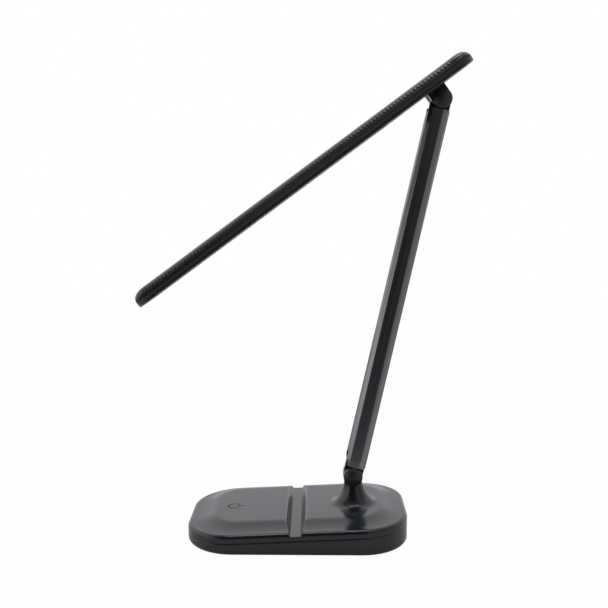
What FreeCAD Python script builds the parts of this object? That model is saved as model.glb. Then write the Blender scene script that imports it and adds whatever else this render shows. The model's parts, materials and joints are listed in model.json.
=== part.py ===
import FreeCAD, Part
import math
import os
import re

import Sketcher

# A folding LED desk lamp: a weighted base with a phone groove, a slim arm and a long flat light head.
# The origin is the middle of the base where it stands on the table. X runs along the base towards the arm,
# Z is up, and both hinges turn about Y.

# Driving sizes, in millimetres and degrees
SIZES = {
    # Base: a rounded slab whose top leans down towards the user
    "base_length": 180,
    "base_depth": 115,
    "base_corner": 39,
    "base_tilt": 2.7,
    "rim_height": 19.75,
    "rim_round": 3,
    "rim_land": 0.2,
    "shoulder_inset": 21,
    "shoulder_back": 10,
    "plateau_rise": 3.2,
    "crease_round": 16,
    "seam_drop": 6.5,
    "seam_gap": 0.2,
    "seam_round": 0.25,
    "base_wall": 2.4,
    "roof_wall": 2.4,
    "tray_floor": 3,
    "tray_round": 4,
    "floor_round": 1.6,
    "pad_proud": 0.8,
    "pad_sink": 0.7,
    "pad_margin": 11,
    "pad_gap": 0.2,
    # Phone groove across the base
    "groove_x": -1,
    "groove_depth": 6.1,
    "groove_floor": 7.8,
    "groove_mouth": 16.4,
    "groove_crest": 3.2,
    # Standby mark and the touch sensor under it
    "mark_inset": 36,
    "mark_diameter": 11,
    "mark_stroke": 0.9,
    "mark_depth": 0.4,
    "mark_gap": 0.05,
    "mark_opening": 6,
    "mark_bar": 5,
    "sensor_diameter": 10,
    "sensor_gap": 0.3,
    # Board, weight and screws inside the base
    "board_length": 46,
    "board_width": 40,
    "board_thickness": 1.6,
    "board_standoff": 3,
    "post_diameter": 5,
    "post_inset": 4,
    "ballast_gap": 8.5,
    "ballast_headroom": 1.2,
    "ballast_corner": 6,
    "peg_diameter": 4,
    "peg_drop": 0.6,
    "peg_spacing": 56,
    "peg_gap": 0.2,
    "screw_inset_x": 28,
    "screw_inset_y": 17.5,
    "screw_diameter": 3,
    "screw_length": 9,
    "screw_head_diameter": 5.6,
    "screw_head_height": 1.6,
    "screw_gap": 0.05,
    "screw_tip": 0.5,
    "head_recess_gap": 0.3,
    "boss_diameter": 8,
    # Power inlet in the end wall
    "inlet_width": 9,
    "inlet_tall": 3.4,
    "inlet_length": 8,
    "inlet_wall": 0.4,
    "inlet_back": 1.4,
    "inlet_set_back": 0.3,
    "inlet_gap": 0.2,
    "tongue_board_width": 5.4,
    "tongue_board_height": 0.8,
    "tongue_board_length": 5.6,
    "cradle_length": 5,
    # Neck and hinges
    "pivot_inset": 43.9,
    "pivot_height": 49,
    "neck_radius": 8,
    "neck_straight": 5.1213,
    "flare_turn": 40,
    "foot_round": 8,
    "knuckle_radius": 7.9,
    "knuckle_round": 0.3,
    "clevis_width": 18,
    "tongue_radius": 8.1,
    "tongue_thickness": 5.1,
    "washer_thickness": 0.5,
    "washer_margin": 1,
    "side_gap": 0.05,
    "slot_gap": 0.7,
    "bolt_diameter": 5,
    "bolt_fit": 0.05,
    "bolt_head_diameter": 9,
    "bolt_head_height": 2,
    "head_play": 0.4,
    "cap_margin": 0.1,
    "cap_edge": 0.4,
    "cap_dome": 3.2,
    "cap_plug": 1.2,
    "cap_gap": 0.1,
    # Arm
    "arm_reach": 316,
    "arm_lean": 12.45,
    "tube_width": 17.1,
    "tube_depth": 20,
    "tube_chamfer": 2.7,
    "tube_round": 6,
    "tube_wall": 1.5,
    "collar_gap": 0.5,
    "collar_length": 5.6,
    "collar_taper": 0.05,
    "collar_bevel": 1.6,
    "plug_length": 28,
    "plug_gap": 0.1,
    "window_start": 0.8,
    "window_length": 4.6,
    "window_width": 12,
    "notch_length": 2.8,
    "cable_diameter": 4,
    "cable_gap": 0.2,
    "cable_depth": 12,
    # Head
    "head_tilt": 36.3,
    "head_length": 330.5,
    "head_overhang": 36.5,
    "head_width": 45,
    "head_thickness": 12,
    "head_corner": 15,
    "head_round": 4,
    "pivot_drop": 9.2,
    "tip_run": 14,
    "tip_drop": 3.4,
    "heel_run": 13,
    "heel_drop": 3.6,
    "bezel_height": 2,
    "bezel_round": 1.5,
    "bezel_gap": 0.1,
    "head_seam_round": 0.3,
    "head_wall": 3,
    "head_roof": 1.8,
    "cavity_tip": 8,
    "cavity_heel": 6,
    # Light
    "window_tip": 4,
    "window_heel": 32,
    "window_side": 3,
    "light_corner": 9,
    "diffuser_gap": 0.15,
    "diffuser_recess": 0.4,
    "diffuser_lip": 1.8,
    "diffuser_flange": 1,
    "spreader_thickness": 1,
    "led_board_thickness": 1,
    "led_board_gap": 1.3,
    "led_size": 2.8,
    "led_height": 0.8,
    "led_pitch": 11,
    "led_row_pitch": 12,
    "led_edge": 14,
    "led_rows": 2,
    "reflector_wall": 1.2,
    # Bracket that carries the head
    "bracket_length": 26,
    "bracket_width": 32,
    "bracket_corner": 3,
    "bracket_plate": 2.5,
    "bracket_boss_height": 3.7,
    "bracket_gap": 0.2,
    "bracket_screw_x": 18,
    "bracket_screw_y": 24,
    "bracket_screw_diameter": 2.5,
    "bracket_screw_length": 5.5,
    "bracket_screw_head": 4.4,
    "bracket_screw_head_height": 1.4,
    "bracket_boss": 5.6,
}

X, Y, Z = FreeCAD.Vector(1, 0, 0), FreeCAD.Vector(0, 1, 0), FreeCAD.Vector(0, 0, 1)

# Two lengths in millimetres count as one below this, and a face is upright or looks up within these limits.
NEAR = 1e-4
UPRIGHT = 0.05
LOOKS_UP = 0.3

# Heights and places that several pieces share, as formulas of the sizes
BLOCK_TOP = "(rim_height + base_length * tan(base_tilt))"
SEAM = "(rim_height - seam_drop)"
PLATEAU = "(rim_height + plateau_rise / cos(base_tilt))"
FLOOR = "(pad_proud + tray_floor)"
MARK_X = "(mark_inset - base_length / 2)"
SCREW_X = "(base_length / 2 - screw_inset_x)"
SCREW_Y = "(base_depth / 2 - screw_inset_y)"
SCREW_SEAT = "(pad_proud + pad_sink)"
INLET_FACE = "(base_length / 2 - inlet_set_back)"
INLET_Z = f"(({FLOOR} + {SEAM} + base_length / 2 * tan(base_tilt)) / 2)"
BALLAST_LOW = f"({MARK_X} + board_length / 2 + ballast_gap)"
BALLAST_HIGH = f"({INLET_FACE} - inlet_length - ballast_gap)"
BALLAST_WIDTH = f"(2 * {SCREW_Y} - boss_diameter - 2 * ballast_gap)"
BALLAST_HEIGHT = f"({SEAM} + {BALLAST_LOW} * tan(base_tilt) - seam_gap - ballast_headroom - {FLOOR})"
PIVOT_X = "(base_length / 2 - pivot_inset)"
NECK_RISE = f"((pivot_height - {PLATEAU} - {PIVOT_X} * tan(base_tilt)) * cos(base_tilt))"
NECK_X = f"({PIVOT_X} + {NECK_RISE} * sin(base_tilt))"
SLOT_HALF = "(tongue_thickness / 2 + side_gap + washer_thickness)"
HEAD_SEAT = "(clevis_width / 2 - cap_plug - cap_gap - bolt_head_height)"
PLUG_RADIUS = "(bolt_head_diameter / 2 + head_play)"
COLLAR_START = "(knuckle_radius + collar_gap)"
LOWER_SEAT = f"({COLLAR_START} + collar_length)"
UPPER_SEAT = f"(arm_reach - {COLLAR_START})"
UPPER_X = f"({PIVOT_X} + arm_reach * sin(arm_lean))"
UPPER_Z = "(pivot_height + arm_reach * cos(arm_lean))"
HEAD_TAIL = "(head_length - head_overhang)"
HEAD_TOP = "(pivot_drop + head_thickness)"
BEZEL_TOP = "(pivot_drop + bezel_height)"
HEAD_CEILING = f"({HEAD_TOP} - head_roof)"
BRACKET_SEAT = f"({HEAD_CEILING} - bracket_boss_height)"
BRACKET_FOOT = f"({BRACKET_SEAT} - bracket_plate)"
LIGHT_LOW = f"(cavity_tip + window_tip - {HEAD_TAIL})"
LIGHT_HIGH = "(-window_heel)"
LIGHT_X = f"(({LIGHT_LOW} + {LIGHT_HIGH}) / 2)"
LIGHT_WIDTH = "(head_width - 2 * head_wall - 2 * window_side)"
LED_FACE = f"({HEAD_CEILING} - spreader_thickness - led_board_thickness)"
LED_COUNT = f"(floor(({LIGHT_HIGH} - {LIGHT_LOW} - 2 * led_edge) / led_pitch) + 1)"

doc = FreeCAD.newDocument("desk_lamp")
sheet = doc.addObject("Spreadsheet::Sheet", "sizes")
for row, (alias, number) in enumerate(SIZES.items(), 1):
    sheet.set(f"A{row}", alias)
    sheet.set(f"B{row}", str(number))
    sheet.setAlias(f"B{row}", alias)
doc.recompute()

nodes = []


# Small helpers that tie geometry to the sheet

def sized(text):
    """A formula with the sheet's name put before each size in it."""
    return re.sub(r"[a-z]\w*", lambda word: f"sizes.{word[0]}" if word[0] in SIZES else word[0], text)


def measure(text):
    """The present value of a formula."""
    return float(sheet.evalExpression(sized(text)))


def tie(item, path, text):
    item.setExpression(path, sized(text))


def place(item, x="0", y="0", z="0", axis=Y, turn="0"):
    """Puts an item at a point, turned about an axis, both from the sheet."""
    item.Placement = FreeCAD.Placement(FreeCAD.Vector(), FreeCAD.Rotation(axis, measure(turn)))
    for letter, text in zip("xyz", (x, y, z)):
        tie(item, f"Placement.Base.{letter}", text)
    if turn != "0":
        tie(item, "Placement.Rotation.Angle", turn)
    return item


def in_arm(item):
    return place(item, PIVOT_X, "0", "pivot_height", Y, "arm_lean")


def in_head(item):
    return place(item, UPPER_X, "0", UPPER_Z, -Y, "head_tilt")


def new_body(label):
    body = doc.addObject("PartDesign::Body", label)
    body.Label = label
    nodes.append(body)
    return body


def sketch(body, role, x="0", y="0", z="0", axis=Z, turn="0"):
    """A sketch on one of the body's own planes, moved and turned in that plane's axes."""
    drawing = body.newObject("Sketcher::SketchObject", "sketch")
    plane = next(item for item in body.Origin.OriginFeatures if item.Role == role)
    drawing.AttachmentSupport = [(plane, "")]
    drawing.MapMode = "FlatFace"
    drawing.AttachmentOffset = FreeCAD.Placement(FreeCAD.Vector(), FreeCAD.Rotation(axis, measure(turn)))
    for letter, text in zip("xyz", (x, y, z)):
        tie(drawing, f"AttachmentOffset.Base.{letter}", text)
    if turn != "0":
        tie(drawing, "AttachmentOffset.Rotation.Angle", turn)
    return drawing


def level(body, height):
    """A flat sketch at a height."""
    return sketch(body, "XY_Plane", z=height)


def tilted(body, height, x="0", y="0"):
    """A sketch that leans with the base's top; the height is measured on the Z axis."""
    return sketch(body, "XY_Plane", x, y, f"{height} + ({x}) * tan(base_tilt)", -Y, "base_tilt")


def upright(body, height, x="0"):
    """A sketch seen from the front, whose floor leans with the base's top."""
    return sketch(body, "XZ_Plane", x, f"{height} + ({x}) * tan(base_tilt)", "0", Z, "base_tilt")


def dimension(drawing, kind, geometry, point, text):
    number = drawing.addConstraint(Sketcher.Constraint(kind, -1, 1, geometry, point, measure(text)))
    tie(drawing, f"Constraints[{number}]", text)


def radius_of(drawing, geometry, text):
    number = drawing.addConstraint(Sketcher.Constraint("Radius", geometry, measure(text)))
    tie(drawing, f"Constraints[{number}]", text)


def circle(drawing, x, y, radius):
    centre = FreeCAD.Vector(measure(x), measure(y))
    geometry = drawing.addGeometry(Part.Circle(centre, Z, measure(radius)))
    dimension(drawing, "DistanceX", geometry, 3, x)
    dimension(drawing, "DistanceY", geometry, 3, y)
    radius_of(drawing, geometry, radius)


def arc_between(start, end, radius):
    """The shorter arc from start to end: a positive radius turns left, a negative one right."""
    if radius < 0:
        start, end = end, start
    chord = end - start
    reach = math.sqrt(max(radius ** 2 - (chord.Length / 2) ** 2, 0))
    left = FreeCAD.Vector(-chord.y, chord.x).normalize()
    centre = (start + end) / 2 + left * reach
    angles = [math.atan2(point.y - centre.y, point.x - centre.x) for point in (start, end)]
    return Part.ArcOfCircle(Part.Circle(centre, Z, abs(radius)), *angles)


def profile(drawing, corners):
    """A closed outline. Each corner is (x, y), or (x, y, radius) where an arc leads on from it."""
    points = [FreeCAD.Vector(measure(corner[0]), measure(corner[1])) for corner in corners]
    pieces = []
    for corner, start, end in zip(corners, points, points[1:] + points[:1]):
        if len(corner) == 2:
            pieces.append((drawing.addGeometry(Part.LineSegment(start, end)), 1, 2))
            continue
        radius = measure(corner[2])
        number = drawing.addGeometry(arc_between(start, end, radius))
        pieces.append((number, 1, 2) if radius > 0 else (number, 2, 1))
    for corner, piece, following in zip(corners, pieces, pieces[1:] + pieces[:1]):
        join = Sketcher.Constraint("Coincident", piece[0], piece[2], following[0], following[1])
        drawing.addConstraint(join)
        dimension(drawing, "DistanceX", piece[0], piece[1], corner[0])
        dimension(drawing, "DistanceY", piece[0], piece[1], corner[1])
        if len(corner) == 3:
            radius_of(drawing, piece[0], f"abs({corner[2]})")


def rounded(drawing, low, high, depth, low_corner, high_corner=None):
    """A rectangle from low to high in X and centred in Y, with round corners."""
    high_corner = high_corner or low_corner
    profile(drawing, [
        (f"{low} + {low_corner}", f"-({depth}) / 2"),
        (f"{high} - {high_corner}", f"-({depth}) / 2", high_corner),
        (high, f"-({depth}) / 2 + {high_corner}"),
        (high, f"({depth}) / 2 - {high_corner}", high_corner),
        (f"{high} - {high_corner}", f"({depth}) / 2"),
        (f"{low} + {low_corner}", f"({depth}) / 2", low_corner),
        (low, f"({depth}) / 2 - {low_corner}"),
        (low, f"-({depth}) / 2 + {low_corner}", low_corner),
    ])
    return drawing


def rectangle(drawing, low_x, low_y, high_x, high_y):
    profile(drawing, [(low_x, low_y), (high_x, low_y), (high_x, high_y), (low_x, high_y)])
    return drawing


def obround(drawing, width, height, middle):
    """A slot shape with round ends, centred on X zero."""
    end = f"({width} - ({height})) / 2"
    half = f"({height}) / 2"
    profile(drawing, [
        (f"-({end})", f"{middle} - {half}"),
        (end, f"{middle} - {half}", half),
        (f"{end} + {half}", middle, half),
        (end, f"{middle} + {half}"),
        (f"-({end})", f"{middle} + {half}", half),
        (f"-({end}) - {half}", middle, half),
    ])
    return drawing


def round_end(drawing, radius, start, end, way=1):
    """A tongue or lug in front view: round about the height start, straight on to the height end."""
    turn = radius if way > 0 else f"-({radius})"
    sign = "-" if way > 0 else "+"
    profile(drawing, [
        (f"-({radius})", start, turn),
        ("0", f"{start} {sign} ({radius})", turn),
        (radius, start),
        (radius, end),
        (f"-({radius})", end),
    ])
    return drawing


def extrude(body, kind, drawing, length, both_ways=False, reverse=False):
    feature = body.newObject(f"PartDesign::{kind}", kind.lower())
    feature.Profile = drawing
    feature.SideType = "Symmetric" if both_ways else "One side"
    feature.Reversed = reverse
    tie(feature, "Length", length)
    return feature


def pad(body, drawing, length, both_ways=False, reverse=False):
    return extrude(body, "Pad", drawing, length, both_ways, reverse)


def pocket(body, drawing, length, both_ways=False, reverse=False):
    return extrude(body, "Pocket", drawing, length, both_ways, reverse)


def loft(body, sections):
    feature = body.newObject("PartDesign::AdditiveLoft", "loft")
    feature.Profile = sections[0]
    feature.Sections = sections[1:]
    return feature


def turn_about(body, drawing, axis="V_Axis"):
    feature = body.newObject("PartDesign::Revolution", "revolution")
    feature.Profile = drawing
    feature.ReferenceAxis = (drawing, [axis])
    feature.Angle = 360
    return feature


def fillet(body, radius, wanted):
    """Rounds the edges of the body so far that the test wants."""
    doc.recompute()
    base = body.Tip
    edges = [f"Edge{number}" for number, edge in enumerate(base.Shape.Edges, 1) if wanted(edge)]
    feature = body.newObject("PartDesign::Fillet", "fillet")
    feature.Base = (base, edges)
    tie(feature, "Radius", radius)
    return feature


def at_height(text):
    """A test for edges that lie level at a height."""
    height = measure(text)
    return lambda edge: edge.BoundBox.ZLength < NEAR and abs(edge.BoundBox.ZMin - height) < NEAR


def on_lean(text):
    """A test for edges on the plane through a height that leans with the base's top."""
    height = measure(text)
    slope = math.tan(math.radians(measure("base_tilt")))
    return lambda edge: all(abs(end.Z - end.X * slope - height) < NEAR for end in edge.Vertexes)


def at_sides(width):
    """A test for edges that lie on the two flat sides of a piece, front and back."""
    half = measure(width) / 2
    return lambda edge: edge.BoundBox.YLength < NEAR and abs(abs(edge.BoundBox.YMin) - half) < NEAR


def across(name, diameter, start, length, x, z):
    """A cylinder along Y."""
    item = doc.addObject("Part::Cylinder", name)
    tie(item, "Radius", f"({diameter}) / 2")
    tie(item, "Height", length)
    item.Placement = FreeCAD.Placement(FreeCAD.Vector(), FreeCAD.Rotation(X, -90))
    for letter, text in zip("xyz", (x, start, z)):
        tie(item, f"Placement.Base.{letter}", text)
    return item


def standing(name, diameter, height, x, y, z):
    """A cylinder along Z."""
    item = doc.addObject("Part::Cylinder", name)
    tie(item, "Radius", f"({diameter}) / 2")
    tie(item, "Height", height)
    return place(item, x, y, z)


def fused(name, items):
    item = doc.addObject("Part::MultiFuse", name)
    item.Shapes = items
    return item


def cut(name, base, tool):
    item = doc.addObject("Part::Cut", name)
    item.Base = base
    item.Tool = tool
    return item


def gathered(name, items):
    item = doc.addObject("Part::Compound", name)
    item.Links = items
    return item


def as_node(item, label):
    item.Label = label
    nodes.append(item)
    return item


def four_corners(x, y):
    """The four places at plus and minus x and y."""
    return [(f"{side} * {x}", f"{back} * {y}") for side in (-1, 1) for back in (-1, 1)]


# Base

def trim(body, height, upwards):
    """Cuts the block off along a plane that leans with the top."""
    drawing = upright(body, height)
    far = "base_length" if upwards else "-base_length"
    rectangle(drawing, "-base_length", f"min(0; {far})", "base_length", f"max(0; {far})")
    pocket(body, drawing, "2 * base_depth", both_ways=True)


def inset(drawing, by):
    """The base's outline, drawn in by a margin."""
    return rounded(drawing, f"-base_length / 2 + {by}", f"base_length / 2 - ({by})",
                   f"base_depth - 2 * ({by})", f"(base_corner - ({by}))")


def groove_profile(drawing):
    """The phone groove from the front: a flat floor, sloped walls and softened crests."""
    run = "((groove_mouth - groove_floor) / 2)"
    wall = f"sqrt({run} ^ 2 + groove_depth ^ 2)"
    # A crest arc touches the plateau and the wall, so it starts one tangent length from their corner.
    tangent = f"(groove_crest * ({wall} - {run}) / groove_depth)"
    down = f"({tangent} * groove_depth / ({wall}))"
    along = f"({tangent} * {run} / ({wall}))"
    mouth = "(groove_mouth / 2)"
    top = "groove_depth"
    profile(drawing, [
        ("-groove_floor / 2", "0"),
        ("groove_floor / 2", "0"),
        (f"{mouth} - {along}", f"{top} - {down}", "-groove_crest"),
        (f"{mouth} + {tangent}", top),
        (f"{mouth} + {tangent}", f"2 * {top}"),
        (f"-{mouth} - {tangent}", f"2 * {top}"),
        (f"-{mouth} - {tangent}", top, "-groove_crest"),
        (f"-{mouth} + {along}", f"{top} - {down}"),
    ])


def standby_mark(drawing, grow):
    """A broken ring with a bar in its gap, the gap towards the arm."""
    half_gap = f"(mark_opening / 2 - ({grow}))"
    outer = f"(mark_diameter / 2 + ({grow}))"
    inner = f"(mark_diameter / 2 - mark_stroke - ({grow}))"
    outer_x = f"sqrt({outer} ^ 2 - {half_gap} ^ 2)"
    inner_x = f"sqrt({inner} ^ 2 - {half_gap} ^ 2)"
    profile(drawing, [
        (outer_x, half_gap, outer),
        ("0", outer, outer),
        (f"-{outer}", "0", outer),
        ("0", f"-{outer}", outer),
        (outer_x, f"-{half_gap}"),
        (inner_x, f"-{half_gap}", f"-{inner}"),
        ("0", f"-{inner}", f"-{inner}"),
        (f"-{inner}", "0", f"-{inner}"),
        ("0", inner, f"-{inner}"),
        (inner_x, half_gap),
    ])
    rectangle(drawing, f"mark_diameter / 2 - mark_bar / 2 - ({grow})", f"-mark_stroke / 2 - ({grow})",
              f"mark_diameter / 2 + mark_bar / 2 + {grow}", f"mark_stroke / 2 + {grow}")


def hinge_bores(body, height, x="0"):
    """The bolt hole along Y and the recess for its head, nut and caps on each side."""
    hole = sketch(body, "XZ_Plane", x)
    circle(hole, "0", height, "bolt_diameter / 2 + bolt_fit")
    pocket(body, hole, "2 * clevis_width", both_ways=True)
    for side in (-1, 1):
        recess = sketch(body, "XZ_Plane", x, z=f"{-side} * {HEAD_SEAT}")
        circle(recess, "0", height, f"{PLUG_RADIUS} + cap_gap")
        pocket(body, recess, "clevis_width", reverse=side < 0)


def base_top_shell():
    body = new_body("base_top_shell")
    pad(body, inset(level(body, "0"), "0"), BLOCK_TOP)
    trim(body, SEAM, upwards=False)
    trim(body, "rim_height", upwards=True)
    fillet(body, "seam_round", on_lean(SEAM))
    fillet(body, "rim_round", on_lean("rim_height"))
    # A hollow brim climbs from the rim to the plateau, steeper at the back than at the front and ends,
    # its slope growing evenly on the way in, up to a soft crease.
    foot = "(rim_round + rim_land)"
    steps = 3
    brim = []
    for step in range(steps + 1):
        part = f"({step} / {steps})"
        front = f"({foot} + (shoulder_inset - {foot}) * {part})"
        back = f"({foot} + (shoulder_back - {foot}) * {part})"
        height = f"(rim_height + plateau_rise * {part} ^ 2 / cos(base_tilt))"
        drawing = tilted(body, height, y=f"({front} - {back}) / 2")
        brim.append(rounded(drawing, f"-base_length / 2 + {front}", f"base_length / 2 - {front}",
                            f"base_depth - {front} - {back}", f"(base_corner - ({front} + {back}) / 2)"))
    loft(body, brim)
    fillet(body, "crease_round", on_lean(PLATEAU))
    # Neck: a column square to the plateau, through the pivot, that flares out into the plateau in two arcs;
    # the flare takes what height the straight run at the pivot leaves
    neck = upright(body, PLATEAU, NECK_X)
    bend_z = "(foot_round * (1 - cos(flare_turn)))"
    flare_round = f"(({NECK_RISE} - neck_straight - {bend_z}) / cos(flare_turn))"
    bend_x = f"(neck_radius + {flare_round} * (1 - sin(flare_turn)))"
    reach = f"({bend_x} + foot_round * sin(flare_turn))"
    profile(neck, [
        ("0", "-plateau_rise"),
        (reach, "-plateau_rise"),
        (reach, "0", "-foot_round"),
        (bend_x, bend_z, f"-{flare_round}"),
        ("neck_radius", f"{NECK_RISE} - neck_straight"),
        ("neck_radius", NECK_RISE),
        ("0", NECK_RISE),
    ])
    turn_about(body, neck)
    knuckle = sketch(body, "XZ_Plane", PIVOT_X)
    circle(knuckle, "0", "pivot_height", "knuckle_radius")
    pad(body, knuckle, "clevis_width", both_ways=True)
    fillet(body, "knuckle_round", at_sides("clevis_width"))
    # Room for the arm's tongue, open above
    slot = sketch(body, "XZ_Plane", PIVOT_X)
    rectangle(slot, "-2 * knuckle_radius", "pivot_height - tongue_radius - slot_gap",
              "2 * knuckle_radius", "pivot_height + 2 * knuckle_radius")
    pocket(body, slot, f"2 * {SLOT_HALF}", both_ways=True)
    hinge_bores(body, "pivot_height", PIVOT_X)
    groove = upright(body, f"({PLATEAU} - groove_depth / cos(base_tilt))", "groove_x")
    groove_profile(groove)
    pocket(body, groove, "2 * base_depth", both_ways=True)
    # Hollow underside, left solid under the groove
    beam = "(groove_mouth / 2 + groove_crest + base_wall)"
    for margin, ceiling in (("base_wall", "rim_height"), ("(shoulder_inset + base_wall)", PLATEAU)):
        depth = f"{ceiling} - roof_wall - {SEAM}"
        corner = f"(base_corner - {margin})"
        left = rounded(tilted(body, SEAM), f"(-base_length / 2 + {margin})", f"(groove_x - {beam})",
                       f"base_depth - 2 * {margin}", corner, "base_wall")
        pocket(body, left, depth, reverse=True)
        right = rounded(tilted(body, SEAM), f"(groove_x + {beam})", f"(base_length / 2 - {margin})",
                        f"base_depth - 2 * {margin}", "base_wall", corner)
        pocket(body, right, depth, reverse=True)
    for side in (-1, 1):
        x = f"{side} * {SCREW_X}"
        posts, holes = level(body, FLOOR), level(body, FLOOR)
        for back in (-1, 1):
            y = f"{back} * {SCREW_Y}"
            circle(posts, x, y, "boss_diameter / 2")
            circle(holes, x, y, "screw_diameter / 2 + screw_gap")
        pad(body, posts, f"rim_height + {x} * tan(base_tilt) - roof_wall / 2 - {FLOOR}")
        pocket(body, holes, f"{SCREW_SEAT} + screw_length + screw_tip - {FLOOR}", reverse=True)
    mark = tilted(body, PLATEAU, MARK_X)
    standby_mark(mark, "mark_gap")
    pocket(body, mark, "mark_depth")


def power_symbol():
    body = new_body("power_symbol")
    drawing = tilted(body, f"({PLATEAU} - mark_depth)", MARK_X)
    standby_mark(drawing, "0")
    pad(body, drawing, "mark_depth")


def peg_places():
    """Where the pegs that hold the weight stand, along X."""
    return [f"({BALLAST_LOW} + {BALLAST_HIGH} + {side} * peg_spacing) / 2" for side in (-1, 1)]


def base_tray():
    body = new_body("base_tray")
    pad(body, inset(level(body, "pad_proud"), "0"), BLOCK_TOP)
    trim(body, f"({SEAM} - seam_gap)", upwards=True)
    fillet(body, "seam_round", on_lean(f"({SEAM} - seam_gap)"))
    fillet(body, "tray_round", at_height("pad_proud"))
    hollow = inset(level(body, FLOOR), "base_wall")
    pocket(body, hollow, BLOCK_TOP, reverse=True)
    fillet(body, "floor_round", at_height(FLOOR))
    seat = inset(level(body, "pad_proud"), "(pad_margin - pad_gap)")
    pocket(body, seat, "pad_sink", reverse=True)
    posts = level(body, FLOOR)
    for x, y in four_corners("(board_length / 2 - post_inset)", "(board_width / 2 - post_inset)"):
        circle(posts, f"{MARK_X} + {x}", y, "post_diameter / 2")
    pad(body, posts, "board_standoff")
    pegs = level(body, FLOOR)
    for x in peg_places():
        circle(pegs, x, "0", "peg_diameter / 2")
    pad(body, pegs, f"{BALLAST_HEIGHT} - peg_drop")
    cradle = level(body, FLOOR)
    rectangle(cradle, f"{INLET_FACE} - inlet_length", "-inlet_width / 2",
              f"{INLET_FACE} - inlet_length + cradle_length", "inlet_width / 2")
    pad(body, cradle, f"{INLET_Z} - inlet_tall / 2 - {FLOOR}")
    holes, recesses = level(body, "pad_proud"), level(body, "pad_proud")
    for x, y in four_corners(SCREW_X, SCREW_Y):
        circle(holes, x, y, "screw_diameter / 2 + screw_gap")
        circle(recesses, x, y, "screw_head_diameter / 2 + head_recess_gap")
    pocket(body, holes, "2 * tray_floor", reverse=True)
    pocket(body, recesses, "pad_sink + screw_head_height", reverse=True)
    mouth = sketch(body, "YZ_Plane", z="base_length / 2 + base_wall")
    obround(mouth, "(inlet_width + 2 * inlet_gap)", "(inlet_tall + 2 * inlet_gap)", INLET_Z)
    pocket(body, mouth, "3 * base_wall")


def base_pad():
    body = new_body("base_pad")
    pad(body, inset(level(body, "0"), "pad_margin"), "pad_proud + pad_sink")


def ballast_plate():
    body = new_body("ballast_plate")
    drawing = rounded(level(body, FLOOR), BALLAST_LOW, BALLAST_HIGH, BALLAST_WIDTH, "ballast_corner")
    for x in peg_places():
        circle(drawing, x, "0", "peg_diameter / 2 + peg_gap")
    pad(body, drawing, BALLAST_HEIGHT)


def control_board():
    body = new_body("control_board")
    drawing = level(body, f"({FLOOR} + board_standoff)")
    rectangle(drawing, f"{MARK_X} - board_length / 2", "-board_width / 2", f"{MARK_X} + board_length / 2",
              "board_width / 2")
    pad(body, drawing, "board_thickness")


def touch_pad():
    """Conductive foam between the board and the roof under the standby mark."""
    body = new_body("touch_pad")
    start = f"({FLOOR} + board_standoff + board_thickness)"
    roof = f"({PLATEAU} - roof_wall + ({MARK_X} - sensor_diameter / 2) * tan(base_tilt))"
    drawing = level(body, start)
    circle(drawing, MARK_X, "0", "sensor_diameter / 2")
    pad(body, drawing, f"{roof} - sensor_gap - {start}")


def base_screws():
    screws = []
    for x, y in four_corners(SCREW_X, SCREW_Y):
        head = standing("screw_head", "screw_head_diameter", "screw_head_height", x, y, SCREW_SEAT)
        shank = standing("screw_shank", "screw_diameter", "screw_length", x, y, SCREW_SEAT)
        screws.append(fused("screw", [head, shank]))
    as_node(gathered("base_screws", screws), "base_screws")


def power_inlet():
    body = new_body("inlet_shell")
    outside = obround(sketch(body, "YZ_Plane", z=INLET_FACE), "inlet_width", "inlet_tall", INLET_Z)
    pad(body, outside, "inlet_length", reverse=True)
    inside = sketch(body, "YZ_Plane", z=INLET_FACE)
    obround(inside, "(inlet_width - 2 * inlet_wall)", "(inlet_tall - 2 * inlet_wall)", INLET_Z)
    pocket(body, inside, "inlet_length - inlet_back")
    tongue = new_body("inlet_tongue")
    drawing = sketch(tongue, "YZ_Plane", z=f"{INLET_FACE} - inlet_length + inlet_back")
    rectangle(drawing, "-tongue_board_width / 2", f"{INLET_Z} - tongue_board_height / 2",
              "tongue_board_width / 2", f"{INLET_Z} + tongue_board_height / 2")
    pad(tongue, drawing, "tongue_board_length")


# Hinge hardware, the same at both pivots

def hinge_cap(label, x, z, side):
    body = new_body(label)
    flange = "(knuckle_radius - cap_margin)"
    inner, brim = "(clevis_width / 2 - cap_plug)", "(clevis_width / 2 + cap_edge)"
    dome = f"(({flange} ^ 2 + cap_dome ^ 2) / (2 * cap_dome))"
    drawing = sketch(body, "XY_Plane")
    profile(drawing, [
        ("0", inner),
        (PLUG_RADIUS, inner),
        (PLUG_RADIUS, "clevis_width / 2"),
        (flange, "clevis_width / 2"),
        (flange, brim, dome),
        ("0", f"{brim} + cap_dome"),
    ])
    turn_about(body, drawing)
    place(body, x, "0", z, Z, "0" if side > 0 else "180")


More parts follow.
